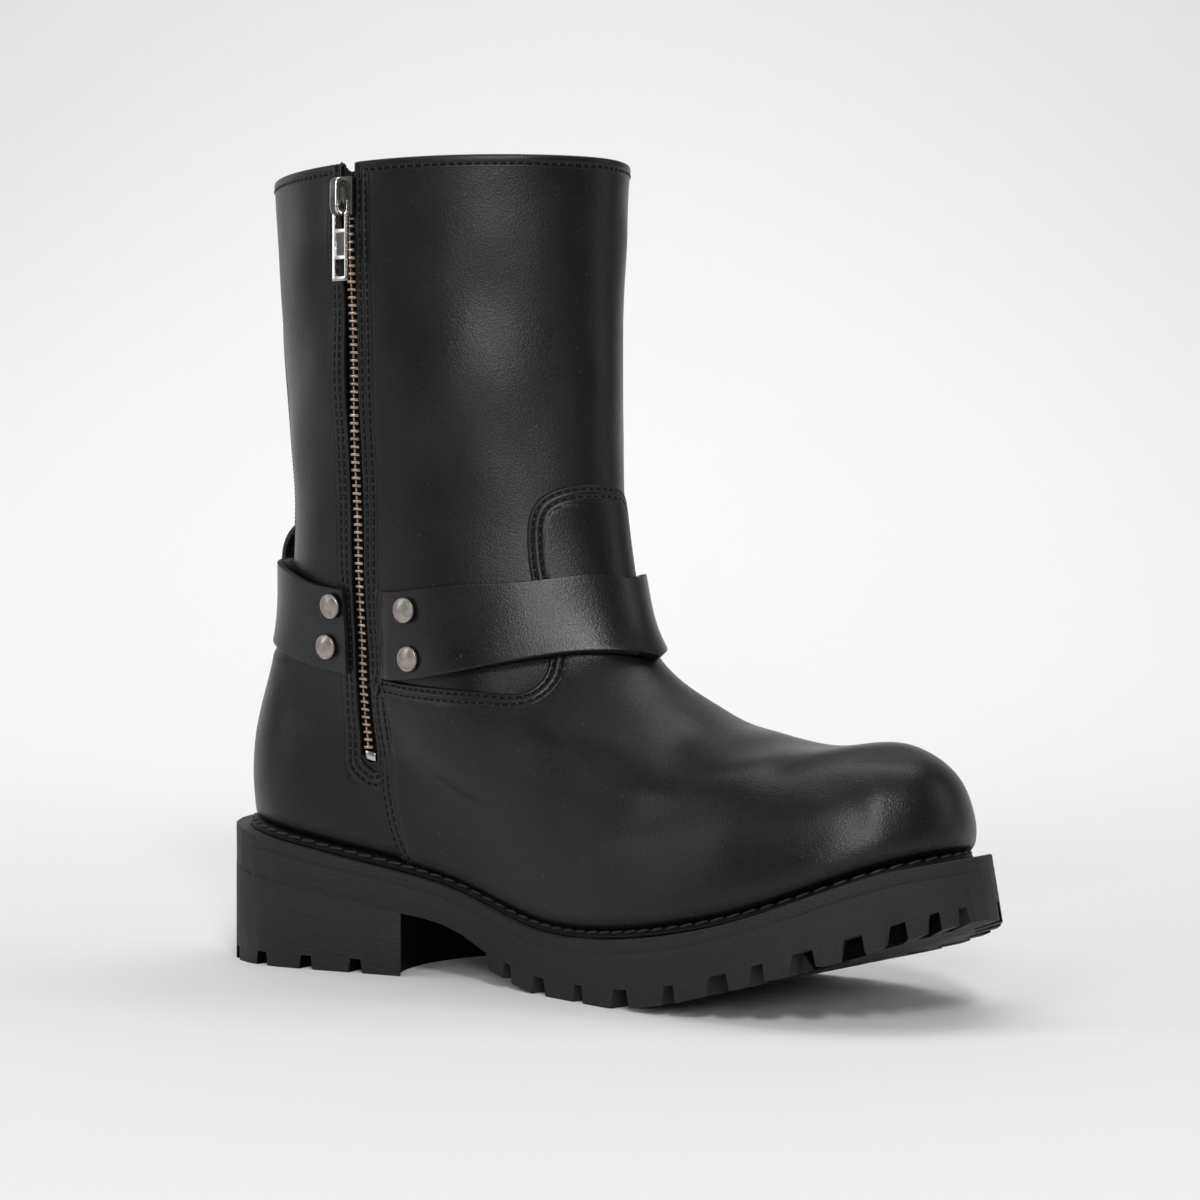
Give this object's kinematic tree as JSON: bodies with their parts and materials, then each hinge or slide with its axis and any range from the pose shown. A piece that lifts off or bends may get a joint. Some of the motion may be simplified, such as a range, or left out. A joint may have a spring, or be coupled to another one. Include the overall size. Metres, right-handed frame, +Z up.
{
  "type": "harness boot",
  "caption": "Left mid-calf leather harness boot with an inside zip, riveted strap round the ankle, rounded toe, and a lugged rubber sole with a block heel.",
  "frame": {"origin": "on the floor, under the middle of the boot's bounding box", "axes": "+X towards the toe, +Z up, -Y towards the inner side with the zip"},
  "size_m": [0.318, 0.1202, 0.291],
  "materials": {
    "leather": "oiled black, satin",
    "rubber": "matte black",
    "tape": "woven black",
    "brass": "antique",
    "steel": "polished",
    "nickel": "antique nickel",
    "board": "covered insole board"
  },
  "bodies": {
    "boot": {"upper": "leather", "vamp": "leather", "harness_strap": "leather", "strap_keeper": "leather", "zip_facing": "leather", "welt": "leather", "rivet_front_top": "nickel", "rivet_front_low": "nickel", "rivet_rear_top": "nickel", "rivet_rear_low": "nickel", "zip_tape": "tape", "zip_chain": "brass", "zip_stop": "brass", "zip_slider": "steel", "midsole": "rubber", "outsole": "rubber", "heel": "rubber", "insole": "board"},
    "pull": {"zip_pull": "steel"}
  },
  "joints": [
    {"name": "pull_swing", "type": "hinge", "parent": "boot", "child": "pull", "pos_m": [-0.07046, -0.05791, 0.27586], "axis": [-1, 0, 0], "range_deg": [0, 120]}
  ]
}
